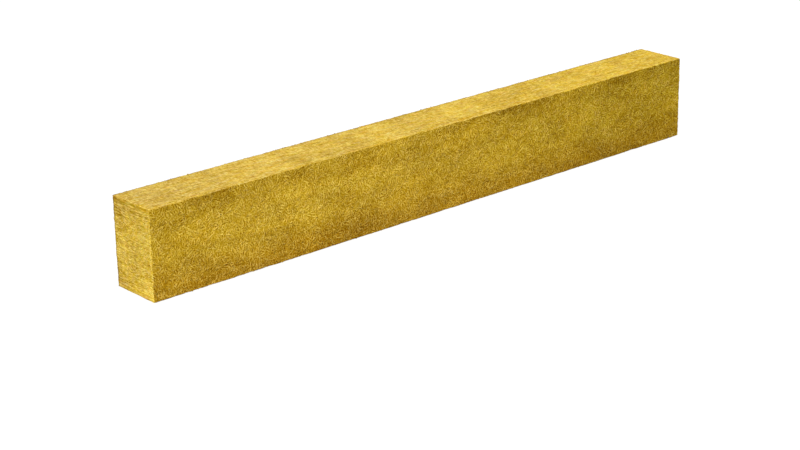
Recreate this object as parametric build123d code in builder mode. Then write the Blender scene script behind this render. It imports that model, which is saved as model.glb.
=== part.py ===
"""Stone-wool insulation strip, sawn from a slab, in millimetres.

X runs along the strip, Y across it between the two sawn sides, and Z up between the two
faces of the slab. The origin is at the middle of the face that the strip rests on.
"""

import os

from build123d import *

# Sawn size of the strip
strip_length = 1000.0
strip_width = 80.0
slab_thickness = 125.0

# Wool has no sharp corner: the saw frays the long edges, and the cross-cut the ends
long_edge_radius = 1.5
end_edge_radius = 1.0

os.makedirs("parts", exist_ok=True)

# The strip is one piece of wool: its section runs the whole length, and both ends are cut square
with BuildPart() as wool_strip:
    with BuildSketch(Plane.YZ) as section:
        RectangleRounded(
            strip_width, slab_thickness, long_edge_radius, align=(Align.CENTER, Align.MIN)
        )
    extrude(amount=strip_length / 2, both=True)

    ends = wool_strip.faces().filter_by(Axis.X)
    fillet(ends.edges(), end_edge_radius)

wool_strip.part.label = "wool_strip"
export_step(wool_strip.part, "parts/wool_strip.step")
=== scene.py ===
import math

import bpy
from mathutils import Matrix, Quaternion, Vector


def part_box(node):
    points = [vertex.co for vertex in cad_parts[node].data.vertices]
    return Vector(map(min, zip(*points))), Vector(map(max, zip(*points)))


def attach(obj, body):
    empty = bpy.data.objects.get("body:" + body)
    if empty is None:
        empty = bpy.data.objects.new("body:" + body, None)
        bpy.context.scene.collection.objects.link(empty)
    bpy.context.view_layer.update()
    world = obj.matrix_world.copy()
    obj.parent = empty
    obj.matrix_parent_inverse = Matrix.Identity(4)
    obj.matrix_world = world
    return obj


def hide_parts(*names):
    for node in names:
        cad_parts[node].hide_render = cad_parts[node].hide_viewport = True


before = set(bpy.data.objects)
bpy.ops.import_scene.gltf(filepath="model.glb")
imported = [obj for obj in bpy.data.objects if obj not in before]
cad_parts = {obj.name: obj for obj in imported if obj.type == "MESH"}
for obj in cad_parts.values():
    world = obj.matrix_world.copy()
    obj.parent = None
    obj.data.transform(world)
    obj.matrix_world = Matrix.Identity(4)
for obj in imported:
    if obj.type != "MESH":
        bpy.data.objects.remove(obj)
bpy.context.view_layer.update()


# The wool block
# Stone wool is spun from molten rock, sprayed with a yellow binder, pressed into a slab and cured.
# A saw cuts the strip from the slab, so its long sides and ends are torn fibre, and its top and
# base are the pressed faces. The torn relief lies to either side of the sawn size.

class Wire:
    """An output socket of a node tree. Sums on wires add Math nodes, and node() adds any other."""

    def __init__(self, tree, socket=None):
        self.tree = tree
        self.socket = socket

    def node(self, kind, settings=None, sockets=None, out=0):
        """Add a node: its settings, then its sockets' values or links. Returns one output."""
        made = self.tree.nodes.new(kind)
        for name, value in (settings or {}).items():
            setattr(made, name, value)
        for key, value in (sockets or {}).items():
            socket = find_socket(made.inputs, key)
            if isinstance(value, Wire):
                self.tree.links.new(value.socket, socket)
            else:
                socket.default_value = value
        return Wire(self.tree, find_socket(made.outputs, out) if made.outputs else None)

    def math(self, operation, *others):
        return self.node("ShaderNodeMath", {"operation": operation}, dict(enumerate((self, *others))))

    def vector_math(self, operation, *others, out="Vector"):
        sockets = dict(enumerate((self, *others)))
        return self.node("ShaderNodeVectorMath", {"operation": operation}, sockets, out)

    def __add__(self, other):
        return self.math("ADD", other)

    def __sub__(self, other):
        return self.math("SUBTRACT", other)

    def __rsub__(self, other):
        return self.node("ShaderNodeMath", {"operation": "SUBTRACT"}, {0: other, 1: self})

    def __mul__(self, other):
        return self.math("MULTIPLY", other)

    def __truediv__(self, other):
        return self.math("DIVIDE", other)

    __radd__ = __add__
    __rmul__ = __mul__


def find_socket(sockets, key):
    """A node's socket by its place, its identifier or its name."""
    if isinstance(key, int):
        return sockets[key]
    for socket in sockets:
        if socket.identifier == key:
            return socket
    return sockets[key]


def parts_of(vector):
    """The three numbers of a vector wire."""
    x = vector.node("ShaderNodeSeparateXYZ", sockets={"Vector": vector}, out="X")
    node = x.socket.node
    return [Wire(vector.tree, node.outputs[axis]) for axis in "XYZ"]


def vector_of(x, y, z):
    """A vector wire from three numbers, one of them a wire at least."""
    start = next(value for value in (x, y, z) if isinstance(value, Wire))
    return start.node("ShaderNodeCombineXYZ", sockets={"X": x, "Y": y, "Z": z})


def noise(place, scale, detail=2.0, roughness=0.5, out="Fac"):
    """Cloudy noise about 0.5, at so many lumps a metre."""
    sockets = {"Vector": place, "Scale": scale, "Detail": detail, "Roughness": roughness}
    return place.node("ShaderNodeTexNoise", sockets=sockets, out=out)


def fade(value, low, high):
    """0 below low, 1 above high, and smooth between them."""
    sockets = {"Value": value, "From Min": low, "From Max": high}
    return value.node("ShaderNodeMapRange", {"interpolation_type": "SMOOTHSTEP"}, sockets, "Result")


strip_low, strip_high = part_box("wool_strip")
strip_size = strip_high - strip_low
strip_length, _, slab_thickness = strip_size
strip_middle = (strip_low + strip_high) / 2

# Clouds are drawn out along the strip and folds across it, and a shift gives each noise its own place
CLOUD_STRETCH = (0.45, 1.0, 1.1)
FOLD_STRETCH = (1.0, 0.12, 0.12)
HUE_SHIFT = (3.1, 1.7, 5.2)
DULL_SHIFT = (7.3, 2.9, 0.6)


def clouds_and_painted_shade(place, sawn, cut):
    """How much lighter, warmer and ruddier the wool is at a place in the strip: cloudy tone, darker,
    greyer patches under the top edge, and painted shading at the base and far end of the sawn sides and
    on the cut ends.
    """
    along, across, height = parts_of(place)
    drawn_out = place.vector_math("MULTIPLY", CLOUD_STRETCH)
    broad = noise(drawn_out, 14.0) - 0.5
    patches = noise(drawn_out, 42.0) - 0.5
    hue = noise(drawn_out.vector_math("ADD", HUE_SHIFT), 30.0, detail=3.0, roughness=0.6) - 0.5
    # Painted shade: the sawn sides grow darker towards their base
    foot_shade = 1 - fade(height, 0.0, 0.5 * slab_thickness)
    brow = fade(height, 0.7 * slab_thickness, slab_thickness)
    # Painted shade: the sawn sides grow darker towards their far end, as light falling off
    far_shade = fade(along, -0.15 * strip_length, 0.5 * strip_length)
    folds = noise(place.vector_math("MULTIPLY", FOLD_STRETCH), 34.0, detail=1.0) - 0.5
    cloudy = (broad * 0.12 + patches * 0.21) * (0.6 + sawn * 0.4 + cut * 0.6)
    cloudy = cloudy + (1 - sawn) * (1 - cut) * folds * 0.15
    dull = brow * fade(noise(drawn_out.vector_math("ADD", DULL_SHIFT), 24.0), 0.52, 0.68)
    # On the sawn sides the darkening at the base and far end is painted shade; under the top edge they
    # are darker and greyer in patches
    painted_shade_and_dull_tone = sawn * (foot_shade * 0.105 + brow * 0.045 + dull * 0.07 + far_shade * 0.09)
    # Painted shade on the cut ends: darker all over, and darker towards the back side than the front;
    # near the top they are darker still
    painted_shade_and_dull_tone = painted_shade_and_dull_tone + cut * (0.05 + across * 1.1 + brow * 0.06)
    lightness = (cloudy - painted_shade_and_dull_tone) * 0.82
    warmth = (cloudy - painted_shade_and_dull_tone) * 0.4 + hue * 0.09 + cut * 0.05 + (1 - sawn) * along * 0.06
    # The painted shade at the base of the sawn sides is a little ruddier, and towards their far end less
    # ruddy
    ruddiness = sawn * (foot_shade * 0.02 - far_shade * 0.02) - cut * 0.01 + hue * 0.03
    return lightness, warmth, ruddiness


# Swirls a metre, and angles in radians
SWIRLS = 60.0
FLOW_TURN = 10.0
QUARTER_TURN = 1.57


def flow_angle(place, swirls=SWIRLS):
    """The way that the torn fibres lie on a sawn side, which turns in so many swirls a metre."""
    return (noise(place, swirls, detail=1.0) - 0.5) * FLOW_TURN


# What one step of lightness or of warmth adds to red, green and blue on a screen
LIGHT_WAY = (0.93, 1.0, 1.10)
WARM_WAY = (0.45, 0.3, -0.85)
DARKEST = (0.05, 0.04, 0.01)
PALEST = (0.98, 0.95, 0.80)
SCREEN_GAMMA = 2.2


def wool_colour(tone, lightness, warmth):
    """The wool's colour, summed as a screen shows it: paler with lightness, more golden with warmth."""
    paler = lightness.vector_math("MULTIPLY", LIGHT_WAY)
    warmer = warmth.vector_math("MULTIPLY", WARM_WAY)
    shown = paler.vector_math("ADD", warmer).vector_math("ADD", tone)
    shown = shown.vector_math("MAXIMUM", DARKEST).vector_math("MINIMUM", PALEST)
    return shown.node("ShaderNodeGamma", sockets={"Color": shown, "Gamma": SCREEN_GAMMA})


def new_tree(name, inputs):
    """A Geometry Nodes tree with these inputs. Returns it with a wire for each."""
    tree = bpy.data.node_groups.new(name, "GeometryNodeTree")
    tree.interface.new_socket("Geometry", in_out="INPUT", socket_type="NodeSocketGeometry")
    tree.interface.new_socket("Geometry", in_out="OUTPUT", socket_type="NodeSocketGeometry")
    for label, kind in inputs.items():
        tree.interface.new_socket(label, in_out="INPUT", socket_type="NodeSocket" + kind)
    given = tree.nodes.new("NodeGroupInput")
    return tree, {socket.name: Wire(tree, socket) for socket in given.outputs if socket.name}


def grown_piece(name, start_mesh, tree, values):
    """Run a tree on a mesh, and keep what it makes as a plain mesh object at the origin."""
    carrier = bpy.data.objects.new(name + "_carrier", start_mesh)
    bpy.context.scene.collection.objects.link(carrier)
    modifier = carrier.modifiers.new(name, "NODES")
    modifier.node_group = tree
    for item in tree.interface.items_tree:
        if item.in_out == "INPUT" and item.name in values:
            modifier[item.identifier] = values[item.name]
    bpy.context.view_layer.update()
    graph = bpy.context.evaluated_depsgraph_get()
    mesh = bpy.data.meshes.new_from_object(carrier.evaluated_get(graph))
    bpy.data.objects.remove(carrier)
    # The cube node leaves an empty slot in front of the material
    if mesh.materials[0] is None:
        mesh.materials.pop(index=0)
    mesh.name = name
    piece = bpy.data.objects.new(name, mesh)
    bpy.context.scene.collection.objects.link(piece)
    return piece


# The wool's two tones on a screen, and what one step of ruddiness or of a spot adds to them
# The sawn tone is darker and more golden than the pressed one: partly the torn wool's own tone, partly
# painted shade between its torn fibres
SAWN_TONE = Vector((0.810, 0.674, 0.231))
PRESSED_TONE = Vector((0.895, 0.760, 0.347))
RUDDY_WAY = (0.4, -0.6, 0.2)
SPOT_WAY = (-0.01, -0.06, -0.055)
TINT_SHIFT = (4.0, 2.0, 6.0)
BLUSH_SHIFT = (9.0, 5.0, 1.0)
HALF = (0.5, 0.5, 0.5)
EDGE_FRAYS = 60.0
EDGE_FRAY = (0.0025, 0.0025, 0.0025)

# Three layers of streaks: how far apart, waves in a streak, swirls a metre and a shift
STREAK_LAYERS = ((0.0040, 2.0, SWIRLS, 0.0), (0.0031, 2.0, 75.0, 3.0), (0.0024, 2.3, 90.0, 7.0))
STREAK_BUMP = 0.0006


def streaks(flat, angle, period, waves=2.3):
    """Lines of fibre, so far apart, that run square to an angle on a flat face. About 0.5."""
    sockets = {"Vector": flat, "Scale": 1.0 / (period * waves), "Frequency": waves,
               "Anisotropy": 0.95, "Orientation 2D": angle}
    return flat.node("ShaderNodeTexGabor", {"gabor_type": "2D"}, sockets, "Value")


def block_material():
    """Wool below the surface: shaded between its fibres, with lines of fibre that swirl."""
    material = bpy.data.materials.new("wool")
    material.use_nodes = True
    tree = material.node_tree
    shader = tree.nodes["Principled BSDF"]
    start = Wire(tree)
    place = start.node("ShaderNodeTexCoord", out="Object")
    along, across, height = parts_of(place)

    # A place belongs to the face that it is nearest to, and the border between two faces is frayed
    frays = noise(place, EDGE_FRAYS, out="Color").vector_math("SUBTRACT", HALF)
    from_middle = place.vector_math("SUBTRACT", strip_middle).vector_math("ABSOLUTE")
    gaps = frays.vector_math("MULTIPLY", EDGE_FRAY).vector_math("SUBTRACT", from_middle)
    end_gap, side_gap, face_gap = parts_of(gaps.vector_math("ADD", strip_size / 2))
    sawn = side_gap.math("LESS_THAN", end_gap.math("MINIMUM", face_gap))
    pressed = face_gap.math("LESS_THAN", end_gap.math("MINIMUM", side_gap))
    cut = 1 - sawn - pressed

    # Each kind of face has its own flat coordinates, and its fibres their own way to lie. On the ends
    # they lie straight near the pressed faces, and are more ruffled between them
    above_base = fade(height, 0.0, 0.3 * slab_thickness)
    fluffy = above_base * (1 - fade(height, 0.7 * slab_thickness, slab_thickness))
    flat = vector_of(along * (1 - cut) * (1 - pressed * 0.55) + across * cut * (0.4 + fluffy * 0.6),
                     height * (1 - pressed) + across * pressed, 0.0)
    layers = []
    for period, waves, swirls, shift in STREAK_LAYERS:
        moved = place.vector_math("ADD", (shift, shift, shift))
        sway = (noise(moved, 40.0, detail=1.0) - 0.5) * (0.8 + cut * fluffy * 5.0)
        angle = sawn * flow_angle(moved, swirls) + (1 - sawn) * (sway + QUARTER_TURN)
        layers.append(streaks(flat.vector_math("ADD", (shift, shift, 0.0)), angle, period, waves))
    coarse, middle, fine = layers
    strands = fade(coarse.math("MAXIMUM", middle), 0.36, 0.76)
    threads = fade(fine, 0.35, 0.75)

    # Flecks, pits, fluff and the layers of the slab are drawn out along the fibres of their face
    grain = vector_of(along * (1 - pressed * 0.7), across * (1 - cut * (0.75 - fluffy * 0.65)), height)
    flecks = noise(grain, 150.0 + pressed * 100.0, detail=2.0, roughness=0.6)
    pits = fade(noise(place, 240.0, detail=1.0), 0.60, 0.74)
    lump_across = 1 - pressed * 0.3 - cut * (0.5 - fluffy * 0.4)
    lumps = vector_of(along * (1 + pressed * 0.5), across * lump_across, height)
    fluff = noise(lumps, 190.0 + pressed * 70.0, detail=3.0, roughness=0.55)
    beds = vector_of(along * (1 - pressed * 0.95), across * (1 - cut * 0.94), height)
    bedding = noise(beds, 200.0 + cut * 130.0, detail=1.0)
    busy = 0.55 + noise(place, 26.0) * 0.9
    # The weave is the fibres' own lighter lines and flecks, and painted shade in the gaps and pits
    # between them
    weave = ((strands - 0.65) * (0.30 - pressed * 0.12) + (threads - 0.45) * (0.15 + pressed * 0.09)
             + (flecks - 0.5) * 0.16 - pits * (0.09 - pressed * 0.05))
    weave = weave * busy * (1 - cut * 0.4) + (cut * 0.44 + pressed * 0.56) * (fluff - 0.5)
    bed_share = cut * (0.50 - fluffy * 0.20) + pressed * 0.10
    weave = weave + bed_share * (bedding - 0.5) - pressed * 0.016
    spots = fade(noise(grain, 190.0), 0.54, 0.72) * (1 - sawn) * (1 - cut * fluffy)
    tint = noise(grain.vector_math("ADD", TINT_SHIFT), 190.0) - 0.5
    blush = noise(grain.vector_math("ADD", BLUSH_SHIFT), 150.0) - 0.5

    lightness, warmth, ruddiness = clouds_and_painted_shade(place, sawn, cut)
    tone = sawn.vector_math("MULTIPLY", SAWN_TONE - PRESSED_TONE).vector_math("ADD", PRESSED_TONE)
    tone = spots.vector_math("MULTIPLY", SPOT_WAY).vector_math("ADD", tone)
    ruddiness = ruddiness + blush * (1 - sawn) * 0.07
    tone = ruddiness.vector_math("MULTIPLY", RUDDY_WAY).vector_math("ADD", tone)
    colour = wool_colour(tone, lightness + weave, warmth + tint * (1 - sawn) * 0.30)
    tree.links.new(colour.socket, shader.inputs["Base Color"])
    sockets = {"Height": strands * 0.7 + threads * 0.3, "Strength": 0.5, "Distance": STREAK_BUMP}
    bump = start.node("ShaderNodeBump", sockets=sockets)
    tree.links.new(bump.socket, shader.inputs["Normal"])
    shader.inputs["Roughness"].default_value = 0.92
    shader.inputs["Specular IOR Level"].default_value = 0.05
    return material


def named(start, name, kind):
    """A wire that reads an attribute of the geometry."""
    return start.node("GeometryNodeInputNamedAttribute", {"data_type": kind}, {"Name": name})


def stored(geometry, name, kind, value, domain="POINT"):
    """The geometry with an attribute added."""
    settings = {"data_type": kind, "domain": domain}
    sockets = {"Geometry": geometry, "Name": name, "Value": value}
    return geometry.node("GeometryNodeStoreNamedAttribute", settings, sockets)


# Relief by lumps a metre, and what draws it out
TUFTS, PITS, LAYERS, RIPPLES = 160.0, 85.0, 260.0, 90.0
EDGE_LUMPS, EDGE_NICKS = 45.0, 110.0
LAYER_STRETCH = (1.0, 0.22, 1.0)
RIPPLE_STRETCH = (0.35, 1.0, 1.0)

# Metres: how far swirls stir the tufts, the gap between ropes of fibre, and between faces on the map
STIR = (0.016, 0.016, 0.016)
ROPE_GAP = 0.0052
MAP_GAP = 0.01
SIDEWAYS = Vector((1.0, 1.0, 0.0))


def block_tree():
    """A block of small squares with soft edges, torn on its cut sides and nearly flat on its faces."""
    tree, given = new_tree("torn wool", {
        "Size": "Vector", "Middle": "Vector", "Squares": "Vector",
        "Edge radius": "Float", "Edge reach": "Float", "Edge wander": "Float",
        "Tear depth": "Float", "Press depth": "Float", "Layer depth": "Float", "Material": "Material",
    })
    start = Wire(tree)
    squares = parts_of(given["Squares"])
    cube_sockets = {"Size": given["Size"]}
    for axis, count in zip("XYZ", squares):
        cube_sockets["Vertices " + axis] = count + 1
    block = start.node("GeometryNodeMeshCube", sockets=cube_sockets, out="Mesh")

    # A flat map with the six faces side by side, which fills the square
    place = start.node("GeometryNodeInputPosition")
    half = given["Size"].vector_math("MULTIPLY", HALF)
    way = start.node("GeometryNodeFieldOnDomain", {"data_type": "FLOAT_VECTOR", "domain": "FACE"},
                     {"Value": start.node("GeometryNodeInputNormal")})
    way_x, way_y, way_z = parts_of(way)
    on_end, on_side, on_face = (part.math("ABSOLUTE") for part in (way_x, way_y, way_z))
    ahead = (way_x + way_y + way_z).math("GREATER_THAN", 0.0)
    x, y, z = parts_of(place.vector_math("ADD", half))
    long, deep, tall = (side + MAP_GAP for side in parts_of(given["Size"]))
    map_x = on_end * (y + ahead * deep) + (1 - on_end) * x
    map_y = (on_side * (z + ahead * tall) + on_face * (y + ahead * deep + tall * 2.0)
             + on_end * (z + tall * 2.0 + deep * 2.0))
    flat_map = vector_of((map_x + MAP_GAP / 2) / long,
                         (map_y + MAP_GAP / 2) / (tall * 3.0 + deep * 2.0), 0.0)
    block = stored(block, "OFBake", "FLOAT2", flat_map, "CORNER")

    # Rounded edges: each point moves to the nearest place on a box with soft edges
    radius = given["Edge radius"]
    core_half = half.vector_math("SUBTRACT", radius)
    core_low = core_half.vector_math("MULTIPLY", (-1.0, -1.0, -1.0))
    core = place.vector_math("MAXIMUM", core_low).vector_math("MINIMUM", core_half)
    outward = place.vector_math("SUBTRACT", core).vector_math("NORMALIZE")
    block = stored(block, "outward", "FLOAT_VECTOR", outward)
    block = start.node("GeometryNodeSetPosition", sockets={
        "Geometry": block,
        "Position": core.vector_math("ADD", outward.vector_math("MULTIPLY", radius)),
    })

    # The saw leaves no straight edge: near one, both faces rise and sink along it
    gaps = half.vector_math("SUBTRACT", place.vector_math("ABSOLUTE"))
    near_end, near_side, near_face = (1 - fade(gap, 0.0, given["Edge reach"]) for gap in parts_of(gaps))
    near_edge = near_end.math("MINIMUM", near_side)
    near_edge = near_edge.math("MAXIMUM", near_side.math("MINIMUM", near_face))
    near_edge = near_edge.math("MAXIMUM", near_face.math("MINIMUM", near_end))
    sunk = noise(place, EDGE_LUMPS, out="Color").vector_math("SUBTRACT", HALF)
    sunk = sunk.vector_math("MULTIPLY", vector_of(near_end, near_side, near_face))
    sunk = sunk.vector_math("MULTIPLY", near_edge * given["Edge wander"] * -1.0)
    sunk = sunk.vector_math("MULTIPLY", place.vector_math("SIGN"))
    block = start.node("GeometryNodeSetPosition", sockets={"Geometry": block, "Offset": sunk})
    block = start.node("GeometryNodeSetPosition", sockets={"Geometry": block, "Offset": given["Middle"]})

    # Which kind of face a point lies on: a sawn side, a pressed face or a cut end
    outward = named(start, "outward", "FLOAT_VECTOR")
    end_share, side_share, face_share = (part * part for part in parts_of(outward))

    # Relief of the torn sides, the layered ends and the pressed faces
    place = start.node("GeometryNodeInputPosition")
    swirl = noise(place, SWIRLS, out="Color").vector_math("SUBTRACT", HALF)
    stirred = place.vector_math("ADD", swirl.vector_math("MULTIPLY", STIR))
    tufts = noise(stirred, TUFTS, roughness=0.6)
    pits = fade(noise(stirred, PITS, detail=1.0), 0.56, 0.72)
    x, _, z = parts_of(place)
    ropes = streaks(vector_of(x, z, 0.0), flow_angle(place), ROPE_GAP)
    torn = (1 - tufts) * 0.8 + (1 - ropes) * 0.7 - 0.3 + pits * 0.5
    layers = noise(stirred.vector_math("MULTIPLY", LAYER_STRETCH), LAYERS)
    ripples = noise(place.vector_math("MULTIPLY", RIPPLE_STRETCH), RIPPLES)
    depth = (side_share * torn * given["Tear depth"] + end_share * (1 - layers) * given["Layer depth"]
             + face_share * (1 - ripples) * given["Press depth"])
    edge_share = 1 - (side_share * side_share + end_share * end_share + face_share * face_share)
    depth = depth + edge_share * noise(place, EDGE_NICKS) * radius * 0.3
    inward = outward.vector_math("MULTIPLY", depth * -1.0)
    block = start.node("GeometryNodeSetPosition", sockets={"Geometry": block, "Offset": inward})

    # No point sinks below the floor
    on_ground = place.vector_math("MAXIMUM", strip_low - SIDEWAYS)
    block = start.node("GeometryNodeSetPosition", sockets={"Geometry": block, "Position": on_ground})
    block = start.node("GeometryNodeSetShadeSmooth", sockets={"Geometry": block})
    block = start.node("GeometryNodeRealizeInstances", sockets={"Geometry": block})
    block = start.node("GeometryNodeSetMaterial",
                       sockets={"Geometry": block, "Material": given["Material"]})
    start.node("NodeGroupOutput", sockets={0: block})
    return tree


# The wool swells past the sawn size on every side but the base, and the relief takes that back
SQUARE = (0.00185, 0.0040, 0.00185)
SWELL = Vector((0.0010, 0.0009, 0.0008))
wool_block = grown_piece("wool_block", bpy.data.meshes.new("empty"), block_tree(), {
    "Size": strip_size + Vector((2.0, 2.0, 1.0)) * SWELL,
    "Middle": strip_middle + Vector((0.0, 0.0, 0.5)) * SWELL,
    "Edge radius": 0.0008,
    "Edge reach": 0.006,
    "Edge wander": 0.0012,
    "Squares": [float(round(side / square)) for side, square in zip(strip_size, SQUARE)],
    "Tear depth": 0.0014,
    "Press depth": 0.0004,
    "Layer depth": 0.0016,
    "Material": block_material(),
})
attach(wool_block, "root")
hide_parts("wool_strip")


# The fibres
# Bundles of rock fibre, glued here and there by the binder, lie loose on every face. The saw pulls
# them up in short curls on the long sides, they stay pressed flat on the slab's faces, and on the
# ends they follow the layers in which the wool was spun.

# A fibre's map runs over so much lightness and warmth, and stays clear of its own rim
LIGHT_RANGE, WARM_RANGE = 0.9, 0.3
MAP_LOW, MAP_HIGH = 0.02, 0.98


def fibre_material(name, tone):
    """Each fibre bundle has one tone: its map holds how light it is, and how warm."""
    material = bpy.data.materials.new(name)
    material.use_nodes = True
    tree = material.node_tree
    shader = tree.nodes["Principled BSDF"]
    start = Wire(tree)
    lightness, warmth, _ = parts_of(start.node("ShaderNodeUVMap", {"uv_map": "OFBake"}))
    colour = wool_colour(tone, (lightness - 0.5) * LIGHT_RANGE, (warmth - 0.5) * WARM_RANGE)
    tree.links.new(colour.socket, shader.inputs["Base Color"])
    shader.inputs["Roughness"].default_value = 0.8
    shader.inputs["Specular IOR Level"].default_value = 0.08
    return material


# Metres: how far a bundle's line may leave the sawn size, how low it lies, and its length at an edge
PROUD = Vector((0.0012, 0.0012, 0.0010))
LOWEST_FIBRE = Vector((0.0, 0.0, 0.0006))
EDGE_LENGTH = 0.003

SAME_SIDE = 0.7
BUNDLE_POINTS, BUNDLE_SIDES = 5, 3
LEAST_BEND = 0.25
SWAYS = 30.0
# Painted light on a bundle's crest, where it rises out of the wool
CREST_HIGHLIGHT = 0.04
WARM_SPREAD = 0.03
THINNEST_TIP = 0.02


def fibre_tree():
    """Curled bundles of fibre, strewn over the side of the block that faces one way."""
    tree, given = new_tree("strewn fibre", {
        "Facing": "Vector", "Grain": "Vector", "Bundles a square metre": "Float",
        "Shortest": "Float", "Longest": "Float", "Thinnest": "Float", "Thickest": "Float",
        "Bend": "Float", "Rise": "Float", "Sway": "Float", "Scatter": "Float",
        "Lightness": "Float", "Lightness spread": "Float",
        "Half size": "Vector", "Middle": "Vector", "Seed": "Int", "Material": "Material",
    })
    start = Wire(tree)
    outward = named(start, "outward", "FLOAT_VECTOR")
    likeness = outward.vector_math("DOT_PRODUCT", given["Facing"], out="Value")
    chosen = likeness.math("GREATER_THAN", SAME_SIDE)
    points = start.node("GeometryNodeDistributePointsOnFaces", {"distribute_method": "RANDOM"}, {
        "Mesh": given["Geometry"], "Selection": chosen,
        "Density": given["Bundles a square metre"], "Seed": given["Seed"],
    }, "Points")
    points = stored(points, "anchor", "FLOAT_VECTOR", start.node("GeometryNodeInputPosition"))
    for step, name in enumerate(("chance", "habit", "luck")):
        draw = start.node("FunctionNodeRandomValue", {"data_type": "FLOAT_VECTOR"}, {
            "Min": (0.0, 0.0, 0.0), "Max": (1.0, 1.0, 1.0), "Seed": given["Seed"] + (step + 1),
        })
        points = stored(points, name, "FLOAT_VECTOR", draw)
    line = start.node("GeometryNodeCurvePrimitiveLine", sockets={"End": (0.0, 0.0, 0.001)})
    line = start.node("GeometryNodeResampleCurve", sockets={"Curve": line, "Count": BUNDLE_POINTS})
    bundles = start.node("GeometryNodeInstanceOnPoints", sockets={"Points": points, "Instance": line})
    bundles = start.node("GeometryNodeRealizeInstances", sockets={"Geometry": bundles})

    # Each bundle bends as an arc in the face, and its middle rises out of the wool
    side_way = given["Facing"].vector_math("DOT_PRODUCT", (0.0, 1.0, 0.0), out="Value")
    side_share = side_way.math("ABSOLUTE")
    anchor = named(start, "anchor", "FLOAT_VECTOR")
    length_draw, bend_draw, light_draw = parts_of(named(start, "chance", "FLOAT_VECTOR"))
    turn_draw, girth_draw, warm_draw = parts_of(named(start, "habit", "FLOAT_VECTOR"))
    rise_draw, side_draw, _ = parts_of(named(start, "luck", "FLOAT_VECTOR"))
    outward = named(start, "outward", "FLOAT_VECTOR")
    from_middle = anchor.vector_math("SUBTRACT", given["Middle"]).vector_math("ABSOLUTE")
    room = given["Half size"].vector_math("SUBTRACT", from_middle)
    room = room.vector_math("ADD", given["Facing"].vector_math("ABSOLUTE"))
    room_x, room_y, room_z = parts_of(room)
    edge_room = room_x.math("MINIMUM", room_y).math("MINIMUM", room_z)
    length = given["Shortest"] + length_draw * length_draw * (given["Longest"] - given["Shortest"])
    length = length.math("MINIMUM", edge_room * 2.0 + EDGE_LENGTH)
    from_crest = start.node("GeometryNodeSplineParameter", out="Factor") - 0.5
    bend = LEAST_BEND + bend_draw * given["Bend"]
    hand = (side_draw - 0.5).math("SIGN")
    ahead = (bend * from_crest).math("SINE") / bend * length
    aside = (1 - (bend * from_crest).math("COSINE")) / bend * length * hand
    crest = 1 - from_crest * from_crest * 4.0
    lift = (crest * (0.4 + rise_draw) - 0.45) * given["Rise"]
    sway = noise(anchor, SWAYS, detail=1.0) - 0.5
    angle = (side_share * (flow_angle(anchor) + QUARTER_TURN) * -1.0 * side_way
             + (1 - side_share) * sway * given["Sway"] + (turn_draw - 0.5) * given["Scatter"])
    upright = start.node("FunctionNodeAxesToRotation", {"primary_axis": "Z", "secondary_axis": "X"},
                         {"Primary Axis": outward, "Secondary Axis": given["Grain"]})
    spin = start.node("FunctionNodeAxisAngleToRotation",
                      sockets={"Axis": (0.0, 0.0, 1.0), "Angle": angle})
    turn = start.node("FunctionNodeRotateRotation", {"rotation_space": "LOCAL"},
                      {"Rotation": upright, "Rotate By": spin})
    local = vector_of(ahead, aside, lift)
    offset = start.node("FunctionNodeRotateVector", sockets={"Vector": local, "Rotation": turn})
    target = anchor.vector_math("ADD", offset)
    target = target.vector_math("MAXIMUM", strip_low - PROUD * SIDEWAYS + LOWEST_FIBRE)
    target = target.vector_math("MINIMUM", strip_high + PROUD)
    bundles = start.node("GeometryNodeSetPosition", sockets={"Geometry": bundles, "Position": target})

    # One tone for each bundle from the block's clouds and painted shade, with painted light on its
    # crest, where it rises out of the wool
    end_way = given["Facing"].vector_math("DOT_PRODUCT", (1.0, 0.0, 0.0), out="Value")
    cloud_and_shade_light, cloud_and_shade_warmth, _ = clouds_and_painted_shade(anchor, side_share, end_way.math("ABSOLUTE"))
    light = (given["Lightness"] + cloud_and_shade_light + (light_draw - 0.5) * given["Lightness spread"]
             + (crest - 0.6) * CREST_HIGHLIGHT)
    warm = cloud_and_shade_warmth + (warm_draw - 0.5) * WARM_SPREAD
    tone = vector_of(light / LIGHT_RANGE + 0.5, warm / WARM_RANGE + 0.5, 0.0)
    bundles = stored(bundles, "tone", "FLOAT_VECTOR", tone)

    girth = given["Thinnest"] + girth_draw * girth_draw * (given["Thickest"] - given["Thinnest"])
    taper = crest.math("MAXIMUM", THINNEST_TIP).math("SQRT")
    ring = start.node("GeometryNodeCurvePrimitiveCircle", {"mode": "RADIUS"},
                      {"Resolution": BUNDLE_SIDES, "Radius": 0.5})
    ring = stored(ring, "around", "FLOAT", start.node("GeometryNodeSplineParameter", out="Factor"))
    fibres = start.node("GeometryNodeCurveToMesh", sockets={
        "Curve": bundles, "Profile Curve": ring, "Scale": girth * taper, "Fill Caps": True,
    })
    tone_light, tone_warm, _ = parts_of(named(start, "tone", "FLOAT_VECTOR"))
    around = named(start, "around", "FLOAT")
    tone_warm = tone_warm + around * 0.01
    tone_map = vector_of(tone_light.math("MINIMUM", MAP_HIGH).math("MAXIMUM", MAP_LOW),
                         tone_warm.math("MINIMUM", MAP_HIGH).math("MAXIMUM", MAP_LOW), 0.0)
    fibres = stored(fibres, "OFBake", "FLOAT2", tone_map, "CORNER")
    fibres = start.node("GeometryNodeSetShadeSmooth", sockets={"Geometry": fibres})
    fibres = start.node("GeometryNodeRealizeInstances", sockets={"Geometry": fibres})
    fibres = start.node("GeometryNodeSetMaterial",
                        sockets={"Geometry": fibres, "Material": given["Material"]})
    start.node("NodeGroupOutput", sockets={0: fibres})
    return tree


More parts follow.
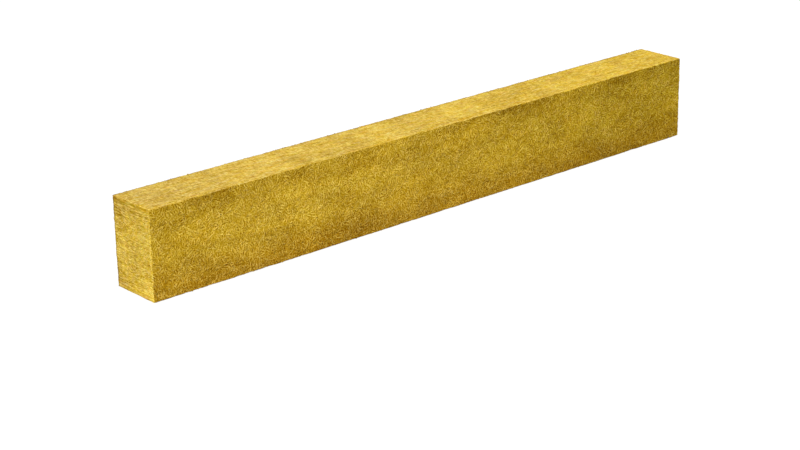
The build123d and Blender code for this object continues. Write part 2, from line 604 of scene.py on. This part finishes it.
sawn_fibre = fibre_material("sawn_fibre", SAWN_TONE)
pressed_fibre = fibre_material("pressed_fibre", PRESSED_TONE)
SAWN_SIDE = {
    "Grain": (1.0, 0.0, 0.0), "Bundles a square metre": 57500.0,
    "Shortest": 0.004, "Longest": 0.014, "Thinnest": 0.0005, "Thickest": 0.0011,
    "Bend": 2.8, "Rise": 0.0010, "Sway": 0.0, "Scatter": 2.0,
    "Lightness": 0.01, "Lightness spread": 0.30, "Material": sawn_fibre,
}
PRESSED_FACE = {
    "Grain": (1.0, 0.0, 0.0), "Bundles a square metre": 40000.0,
    "Shortest": 0.004, "Longest": 0.016, "Thinnest": 0.0003, "Thickest": 0.0008,
    "Bend": 0.6, "Rise": 0.0003, "Sway": 0.9, "Scatter": 1.2,
    "Lightness": 0.005, "Lightness spread": 0.22, "Material": pressed_fibre,
}
CUT_END = {
    "Grain": (0.0, 1.0, 0.0), "Bundles a square metre": 60000.0,
    "Shortest": 0.004, "Longest": 0.013, "Thinnest": 0.0005, "Thickest": 0.0011,
    "Bend": 2.0, "Rise": 0.0008, "Sway": 1.2, "Scatter": 1.2,
    "Lightness": 0.04, "Lightness spread": 0.26, "Material": pressed_fibre,
}
FACES = {
    "front_side_fibres": ((0.0, -1.0, 0.0), SAWN_SIDE),
    "back_side_fibres": ((0.0, 1.0, 0.0), SAWN_SIDE),
    "top_face_fibres": ((0.0, 0.0, 1.0), PRESSED_FACE),
    "base_face_fibres": ((0.0, 0.0, -1.0), PRESSED_FACE),
    "near_end_fibres": ((-1.0, 0.0, 0.0), CUT_END),
    "far_end_fibres": ((1.0, 0.0, 0.0), CUT_END),
}
strewn_fibre = fibre_tree()
for seed, (name, (facing, habits)) in enumerate(FACES.items()):
    fibres = grown_piece(name, wool_block.data, strewn_fibre, {
        "Facing": facing, "Half size": strip_size / 2, "Middle": strip_middle,
        "Seed": 10 * seed, **habits,
    })
    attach(fibres, "root")


# The studio
# A sheet of white paper without edges is the floor. A large soft lamp stands at the upper left, and
# even light comes from all round.

def shows_background(start):
    """1 on rays that show the background: straight to the camera, or by way of metal or glass."""
    straight, *others = (start.node("ShaderNodeLightPath", out=f"Is {kind} Ray")
                         for kind in ("Camera", "Glossy", "Transmission"))
    for other in others:
        straight = straight.math("MAXIMUM", other)
    return straight


FLOOR_HALF = 12.0
PAPER_BOUNCE = (0.55, 0.55, 0.55, 1.0)
PAPER_SHOWN = (0.3, 0.3, 0.3, 1.0)
PAPER_GLOW = 0.75
WHITE = (1.0, 1.0, 1.0, 1.0)
floor_mesh = bpy.data.meshes.new("floor")
floor_mesh.from_pydata(
    [(-FLOOR_HALF, -FLOOR_HALF, 0.0), (FLOOR_HALF, -FLOOR_HALF, 0.0),
     (FLOOR_HALF, FLOOR_HALF, 0.0), (-FLOOR_HALF, FLOOR_HALF, 0.0)], [], [(0, 1, 2, 3)])
floor = bpy.data.objects.new("floor", floor_mesh)
bpy.context.scene.collection.objects.link(floor)
paper = bpy.data.materials.new("white_paper")
paper.use_nodes = True
paper_tree = paper.node_tree
paper_tree.nodes.remove(paper_tree.nodes["Principled BSDF"])
start = Wire(paper_tree)
bounce = start.node("ShaderNodeBsdfDiffuse", sockets={"Color": PAPER_BOUNCE})
shadowed = start.node("ShaderNodeBsdfDiffuse", sockets={"Color": PAPER_SHOWN})
glow = start.node("ShaderNodeEmission", sockets={"Color": WHITE, "Strength": PAPER_GLOW})
white = start.node("ShaderNodeAddShader", sockets={0: shadowed, 1: glow})
surface = start.node("ShaderNodeMixShader",
                     sockets={"Fac": shows_background(start), 1: bounce, 2: white})
paper_tree.links.new(surface.socket, paper_tree.nodes["Material Output"].inputs["Surface"])
floor_mesh.materials.append(paper)

ROOM_LIGHT = 0.47
world = bpy.data.worlds.new("studio")
world.use_nodes = True
world_tree = world.node_tree
sky = world_tree.nodes["Background"]
strength = ROOM_LIGHT + shows_background(Wire(world_tree)) * (1.0 - ROOM_LIGHT)
sky.inputs["Color"].default_value = WHITE
world_tree.links.new(strength.socket, sky.inputs["Strength"])
bpy.context.scene.world = world

KEY_FROM = Vector((-0.55, -0.49, 0.675))
KEY_SOFTNESS = math.radians(18.0)
KEY_POWER = 2.8
key_data = bpy.data.lights.new("key", "SUN")
key_data.angle = KEY_SOFTNESS
key_data.energy = KEY_POWER
key = bpy.data.objects.new("key", key_data)
key.rotation_mode = "QUATERNION"
key.rotation_quaternion = KEY_FROM.to_track_quat("Z", "Y")
bpy.context.scene.collection.objects.link(key)

CAMERA_PLACE = Vector((-1.8111, -2.0103, 0.9662))
CAMERA_AIM = Vector((-0.1927, -0.1638, 0.06))
CAMERA_ROLL = math.radians(-0.944)
CAMERA_LENS = 90.0
camera_data = bpy.data.cameras.new("camera")
camera_data.lens = CAMERA_LENS
camera = bpy.data.objects.new("camera", camera_data)
camera.location = CAMERA_PLACE
camera.rotation_mode = "QUATERNION"
level = (CAMERA_AIM - CAMERA_PLACE).to_track_quat("-Z", "Y")
camera.rotation_quaternion = level @ Quaternion((0.0, 0.0, 1.0), CAMERA_ROLL)
bpy.context.scene.collection.objects.link(camera)
bpy.context.scene.camera = camera
bpy.context.scene.view_settings.view_transform = "Standard"
